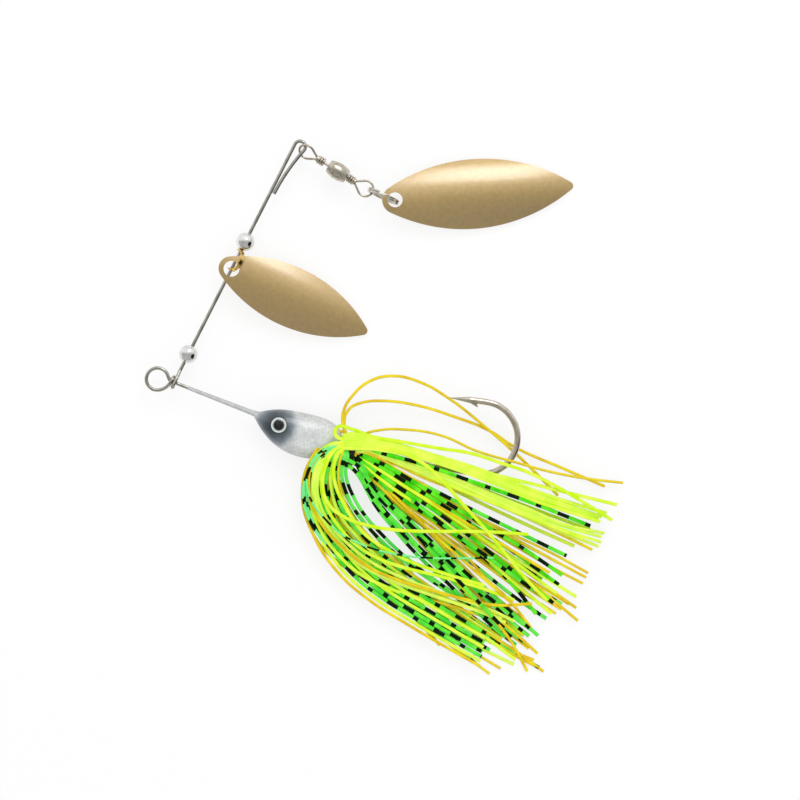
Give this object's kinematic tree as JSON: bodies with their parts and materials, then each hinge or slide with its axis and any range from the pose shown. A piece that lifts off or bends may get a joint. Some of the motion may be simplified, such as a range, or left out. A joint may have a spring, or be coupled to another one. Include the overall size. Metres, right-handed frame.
{
  "type": "spinnerbait",
  "caption": "Tandem willow-leaf spinnerbait: bent wire frame, minnow head on a hook, silicone skirt, clevis blade and swivel blade.",
  "frame": {"origin": "centre of the line tie loop", "axes": "+X rearwards along the hook shank, +Y from the hook shank towards the upper arm, +Z square to the wire frame's plane, up when the lure lies on a table"},
  "size_m": [0.1367, 0.1428, 0.0103],
  "materials": {
    "stainless_wire": "drawn stainless spring wire",
    "painted_lead": "pearl white paint, grey-blue over the nose, gloss clear coat",
    "nickel_hook": "nickel-plated high carbon steel",
    "eye_foil": "silver foil with a printed black pupil",
    "eye_resin": "clear domed resin",
    "black_rubber": "black latex band",
    "skirt_chartreuse": "translucent chartreuse silicone",
    "skirt_green": "green silicone with printed black bars",
    "skirt_gold": "gold-yellow silicone",
    "bead_metal": "polished nickel plate",
    "clevis_brass": "bright gold-plated brass",
    "blade_gold": "satin gold plate",
    "swivel_nickel": "satin nickel plate",
    "ring_nickel": "bright nickel plate"
  },
  "bodies": {
    "frame": {"wire_frame": "stainless_wire", "head_casting": "painted_lead", "hook": "nickel_hook", "eye_foil_left": "eye_foil", "eye_foil_right": "eye_foil", "eye_dome_left": "eye_resin", "eye_dome_right": "eye_resin", "skirt_band": "black_rubber", "skirt_chartreuse": "skirt_chartreuse", "skirt_barred_green": "skirt_green", "skirt_gold": "skirt_gold", "bead_lower": "bead_metal", "bead_upper": "bead_metal"},
    "clevis": {"clevis": "clevis_brass"},
    "small_blade": {"blade_small": "blade_gold"},
    "swivel_top": {"swivel_eye_top": "swivel_nickel"},
    "swivel_body": {"swivel_barrel": "swivel_nickel"},
    "swivel_bottom": {"swivel_eye_bottom": "swivel_nickel"},
    "ring": {"split_ring": "ring_nickel"},
    "large_blade": {"blade_large": "blade_gold"}
  },
  "joints": [
    {"name": "clevis_spin", "type": "hinge", "parent": "frame", "child": "clevis", "pos_m": [0.01526, 0.0368, 0], "axis": [0.274, 0.9617, 0], "continuous": true},
    {"name": "small_blade_swing", "type": "hinge", "parent": "clevis", "child": "small_blade", "pos_m": [0.0152, 0.0346, 0.00165], "axis": [0, 0, 1], "range_deg": [-30, 6]},
    {"name": "swivel_swing", "type": "hinge", "parent": "frame", "child": "swivel_top", "pos_m": [0.02675, 0.07147, 0], "axis": [0, 0, -1], "range_deg": [-40, 30]},
    {"name": "barrel_spin", "type": "hinge", "parent": "swivel_top", "child": "swivel_body", "pos_m": [0.0289, 0.0704, 0], "axis": [0.9342, -0.3567, 0], "continuous": true},
    {"name": "lower_eye_spin", "type": "hinge", "parent": "swivel_body", "child": "swivel_bottom", "pos_m": [0.04702, 0.06348, 0], "axis": [0.9342, -0.3567, 0], "continuous": true},
    {"name": "ring_swing", "type": "hinge", "parent": "swivel_bottom", "child": "ring", "pos_m": [0.04702, 0.06348, 0], "axis": [0, 0, 1], "range_deg": [-50, 50]},
    {"name": "large_blade_flap", "type": "hinge", "parent": "ring", "child": "large_blade", "pos_m": [0.0523, 0.06235, 0], "axis": [0.2419, 0.9703, 0], "range_deg": [-45, 45]}
  ]
}
